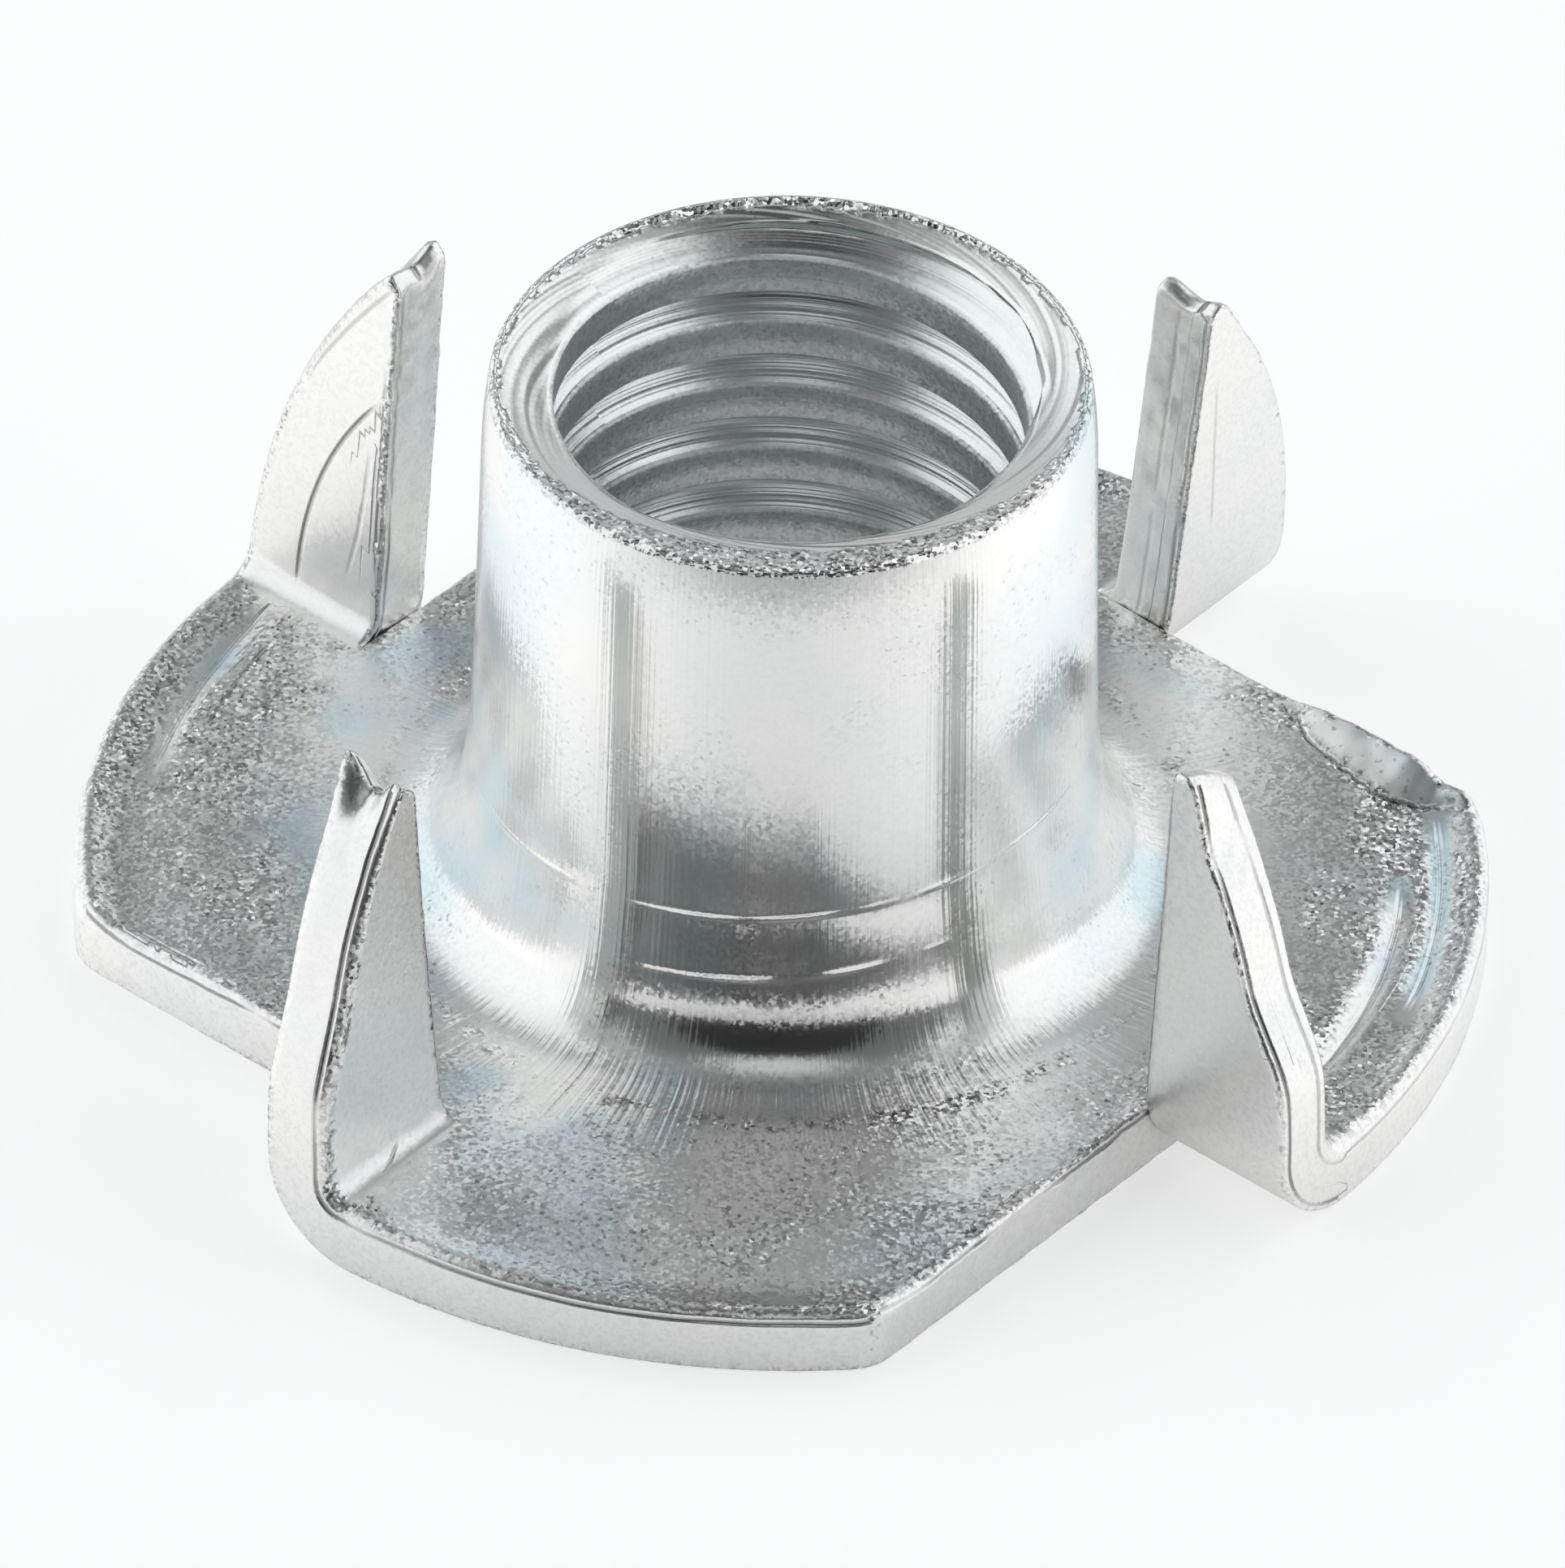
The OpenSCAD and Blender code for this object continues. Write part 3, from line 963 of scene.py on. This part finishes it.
def zinc_normal(n, s, m, amount, cells):
    """The way the surface faces: a groove along each scored line, fine lines outward over the web, up
    the barrel and round the bore with the thread, and the tilt of each crystal."""
    grooves = n.product(n.ramp(n.math("ABSOLUTE", m.gap), 0.07, 0.0), n.math("ABSOLUTE", m.score), -0.035)
    climb = n.math("SUBTRACT", m.z, n.product(m.angle, s.pitch / MM / (2 * pi)))
    spokes = n.ramp(m.inside, 0.0, 1.0, 70, 0)
    lines = n.noise(n.join(n.product(n.math("COSINE", m.angle), spokes),
                           n.product(n.math("SINE", m.angle), spokes),
                           n.product(m.inside, climb, 20)), 1.0, 1)
    deep = n.weighed(m, web=0.014, barrel=0.006, inside=0.030, crest=-0.024)
    height = n.total(grooves, n.product(lines, deep))
    bump = n.add("Bump", {"Height": height, "Distance": MM, "Strength": 1.0}).outputs["Normal"]
    tilt = n.scaled(n.vector("SUBTRACT", cells, (0.5, 0.5, 0.5)), n.product(amount, TILT))
    return n.vector("NORMALIZE", n.vector("ADD", bump, tilt))


def zinc_colour(n, finish, m, amount, cells):
    """Clean zinc, bluer where the passivation layer is thick and, as a painted bluish sheen, on the
    barrel's left and right sides as seen from the front; then crystals painted darker at random as
    if in shade; then dark specks at random, and painted shade along the creases and seams."""
    random = n.add("SeparateColor", {"Color": cells}).outputs
    # Painted bluish sheen: the barrel's left and right sides, as seen from the front, are tinted bluer
    # where bluish highlights fall; the rest of this tint is the passivation's own colour
    sides = n.math("ABSOLUTE", n.math("SINE", n.math("SUBTRACT", m.angle, FRONT)))
    film_and_sheen = n.total(n.product(m.calm, m.flat, 0.85), n.product(m.barrel, n.ramp(sides, 0.6, 1.0), 0.6), 0.1)
    film_and_sheen = n.total(n.product(n.ramp(m.tint, 0.45, 0.68), film_and_sheen),
                   n.product(m.inside, n.ramp(m.below_mouth, 0.2, 0.6, 0.0, 0.25)))
    # Painted shade over the grain: the crystals whose random value also tilts them towards -x are painted
    # darker, as if in shade; less so at the mouth
    dark = n.product(n.ramp(random["Red"], 0.0, 0.7, 1.0, 0.0), amount,
                     n.total(0.9, n.product(m.mouth, -0.65)))
    speck = n.product(n.ramp(random["Green"], 0.955, 0.965), m.patchy, n.weighed(m, flat=1, barrel=0.4))
    # Painted shade: along lines scored above 0, the middle is darkened as the shade in creases
    crease_shade = n.product(n.ramp(n.math("ABSOLUTE", m.gap), 0.045, 0.015), n.math("MAXIMUM", m.score, 0.0))
    specks_and_crease_shade = n.math("MAXIMUM", n.product(speck, 0.5), n.product(crease_shade, 0.85))
    clean = n.colour(film_and_sheen, finish.zinc, finish.blue)
    return n.colour(specks_and_crease_shade, n.colour(dark, clean, finish.dark), finish.specks_and_crease_shade)


def zinc_material(s, finish):
    """Zinc plate over stamped steel: a fine sparkling grain on the flange, smoother where the sheet was
    drawn, with die marks, draw lines, thread lines and specks."""
    material, n = new_material("zinc_plate")
    m = zinc_masks(n, s)
    amount, cells = zinc_grain(n, m)
    rough = n.total(finish.roughness, n.product(m.flat, m.calm, 0.10), n.weighed(
        m, flat=0.08, prong=0.16, edge=0.14, inside=0.10, crest=0.22, tint=0.10))
    shader = n.add("BsdfPrincipled", {
        "Base Color": zinc_colour(n, finish, m, amount, cells), "Roughness": rough, "Metallic": 1.0,
        "Normal": zinc_normal(n, s, m, amount, cells)})
    n.add("OutputMaterial", {"Surface": shader.outputs["BSDF"]})
    return material


# ---------------- studio

# Lights and dark cards round the nut, as seen from the camera: right, away and up, then the angles from
# that direction at which each starts to fade and is gone, and how much light it adds or takes
CARDS = (
    ((-1, 0.3, 0.35), 39, 58, 1.0),
    ((1, 0.3, 0.35), 39, 58, 1.0),
    ((0, 0.65, 1), 8, 16, 0.35),
    ((0, 1, 0.2), 10, 24, 0.5),
    ((0.05, 0.05, 1), 6, 14, -0.2),
    ((0, -1, 1.2), 8, 20, 0.5),
    ((0, -1, 0.1), 20, 36, -0.2),
)
SKY, LEAST_SKY = 0.16, 0.03
# The floor: half its side, how far it lies under the nut, how much it glows and how pale it is
FLOOR_HALF, FLOOR_DOWN, FLOOR_GLOW, FLOOR_GREY = 400 * MM, 0.01 * MM, 0.63, 0.6
SENSOR_WIDTH = 36


def floor_material(studio):
    """Pale floor that takes a soft shadow. It looks evenly bright to the camera. In reflections it is
    brighter to the left and right, where the lights stand, dark far in front, less bright where the
    nut closes it in, and bright again under the bore."""
    material, n = new_material("floor")
    path = n.add("LightPath").outputs
    place = n.add("TexCoord").outputs["Object"]
    across = n.split(n.vector("NORMALIZE", n.turned(place, -studio.turn)))["X"]
    away = n.vector("LENGTH", place)
    ahead = n.ramp(away, 19 * MM, 26 * MM, 0.85, 0.2)
    pool = n.add("Mix", {"Factor": n.product(across, across), "A": ahead, "B": 1.55}).outputs["Result"]
    open_air = n.add("AmbientOcclusion", {"Distance": 12 * MM}, samples=3).outputs["AO"]
    shaded = n.product(pool, n.math("MULTIPLY_ADD", open_air, 0.5, 0.45))
    under_bore = n.ramp(away, 4.6 * MM, 3.6 * MM, 0.0, 0.6)
    mirrored = n.product(path["Is Glossy Ray"], n.math("MAXIMUM", shaded, under_bore))
    glow = n.add("Emission", {"Color": [FLOOR_GLOW * v for v in studio.backdrop],
                              "Strength": n.math("MAXIMUM", path["Is Camera Ray"], mirrored)})
    matt = n.add("BsdfDiffuse", {"Color": (FLOOR_GREY,) * 3})
    both = n.add("AddShader", {0: glow.outputs[0], 1: matt.outputs[0]})
    n.add("OutputMaterial", {"Surface": both.outputs[0]})
    return material


def sky_level(n, studio):
    """Strength of the light from each side: the sky's own, and what each card adds or takes."""
    ray = n.turned(n.add("TexCoord").outputs["Generated"], -studio.turn)
    level = SKY
    for aim, inner, outer, light in CARDS:
        toward = n.vector("DOT_PRODUCT", ray, [v / hypot(*aim) for v in aim])
        level = n.total(level, n.ramp(toward, cos(radians(outer)), cos(radians(inner)), 0.0, light))
    return n.math("MAXIMUM", level, LEAST_SKY)


def camera_axes(studio):
    """The camera's right, up and backward directions."""
    e, t, r = studio.elevation, studio.turn, studio.roll
    back = np.array([cos(e) * sin(t), -cos(e) * cos(t), sin(e)])
    right = np.array([cos(t), sin(t), 0])
    up = np.cross(back, right)
    return cos(r) * right + sin(r) * up, cos(r) * up - sin(r) * right, back


class TEENUT_OT_nut(bpy.types.Operator):
    """Build the stamped nut and plate it with zinc"""

    bl_idname = "teenut.nut"
    bl_label = "Stamped nut"

    def execute(self, context):
        s = context.scene.teenut_sizes
        shell = Shell()
        parts = [add_quarter(shell, s, i) for i in range(len(LEANS))]
        upper, lower = (np.concatenate(outlines) for outlines in zip(*parts))
        angles = web_angles(s)
        half = angles[::2]
        top = add_web(shell, s, angles, upper, s.sheet, WEB_ROWS)
        base = add_web(shell, s, angles, lower, 0.0, WEB_ROWS_BELOW)
        add_barrel(shell, s, half, top)
        add_bore(shell, s, half)
        add_underside(shell, s, half, base)
        nut = shell.object("stamped_nut", WELD)
        nut.data.materials.append(zinc_material(s, context.scene.teenut_finish))
        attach(nut, "root")
        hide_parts("tee_nut")
        return {"FINISHED"}


class TEENUT_OT_stage(bpy.types.Operator):
    """Lay the pale floor"""

    bl_idname = "teenut.stage"
    bl_label = "Floor"

    def execute(self, context):
        mesh = bpy.data.meshes.new("floor")
        corners = ((-1, -1), (1, -1), (1, 1), (-1, 1))
        mesh.from_pydata([(x * FLOOR_HALF, y * FLOOR_HALF, -FLOOR_DOWN) for x, y in corners],
                         [], [(0, 1, 2, 3)])
        floor = bpy.data.objects.new("floor", mesh)
        context.scene.collection.objects.link(floor)
        mesh.materials.append(floor_material(context.scene.teenut_studio))
        return {"FINISHED"}


class TEENUT_OT_light(bpy.types.Operator):
    """Set the soft light round the nut"""

    bl_idname = "teenut.light"
    bl_label = "Soft light"

    def execute(self, context):
        studio = context.scene.teenut_studio
        world = bpy.data.worlds.new("studio")
        context.scene.world = world
        world.use_nodes = True
        n = Nodes(world.node_tree)
        sky = n.add("Background", {"Color": (0.96, 0.985, 1.0), "Strength": sky_level(n, studio)})
        plain = n.add("Background", {"Color": studio.backdrop, "Strength": 1.0})
        camera_ray = n.add("LightPath").outputs["Is Camera Ray"]
        mix = n.add("MixShader", {0: camera_ray, 1: sky.outputs[0], 2: plain.outputs[0]})
        n.add("OutputWorld", {"Surface": mix.outputs[0]})
        return {"FINISHED"}


class TEENUT_OT_camera(bpy.types.Operator):
    """Place the camera"""

    bl_idname = "teenut.camera"
    bl_label = "Camera"

    def execute(self, context):
        studio = context.scene.teenut_studio
        right, up, back = camera_axes(studio)
        at = np.array([0, 0, studio.aim_z]) + back * studio.distance
        at = at + right * studio.shift_right + up * studio.shift_up
        data = bpy.data.cameras.new("camera")
        data.sensor_fit = "HORIZONTAL"
        data.sensor_width = SENSOR_WIDTH
        data.lens = studio.lens
        data.clip_start = 10 * MM
        camera = bpy.data.objects.new("camera", data)
        turn = np.stack([right, up, back], 1)
        camera.matrix_world = Matrix([[*turn[i], at[i]] for i in range(3)] + [[0, 0, 0, 1]])
        context.scene.collection.objects.link(camera)
        context.scene.camera = camera
        context.scene.view_settings.view_transform = "Standard"
        return {"FINISHED"}


class TEENUT_PT_panel(bpy.types.Panel):
    """Lists the nut's operators and settings"""

    bl_idname = "TEENUT_PT_panel"
    bl_label = "Tee nut"
    bl_space_type = "VIEW_3D"
    bl_region_type = "UI"
    bl_category = "Tee nut"

    def draw(self, context):
        for operator in OPERATORS:
            self.layout.operator(operator.bl_idname)
        for name, group in GROUPS.items():
            box = self.layout.box()
            for setting in group.__annotations__:
                box.prop(getattr(context.scene, name), setting)


OPERATORS = (TEENUT_OT_nut, TEENUT_OT_stage, TEENUT_OT_light, TEENUT_OT_camera)
GROUPS = {"teenut_sizes": NutSizes, "teenut_finish": NutFinish, "teenut_studio": Studio}
CLASSES = (*GROUPS.values(), *OPERATORS, TEENUT_PT_panel)


def register():
    for item in CLASSES:
        bpy.utils.register_class(item)
    for name, group in GROUPS.items():
        setattr(bpy.types.Scene, name, PointerProperty(type=group))


def unregister():
    for name in GROUPS:
        delattr(bpy.types.Scene, name)
    for item in reversed(CLASSES):
        bpy.utils.unregister_class(item)


def main():
    register()
    bpy.ops.teenut.camera()
    bpy.ops.teenut.nut()
    bpy.ops.teenut.stage()
    bpy.ops.teenut.light()


if __name__ == "__main__":
    main()
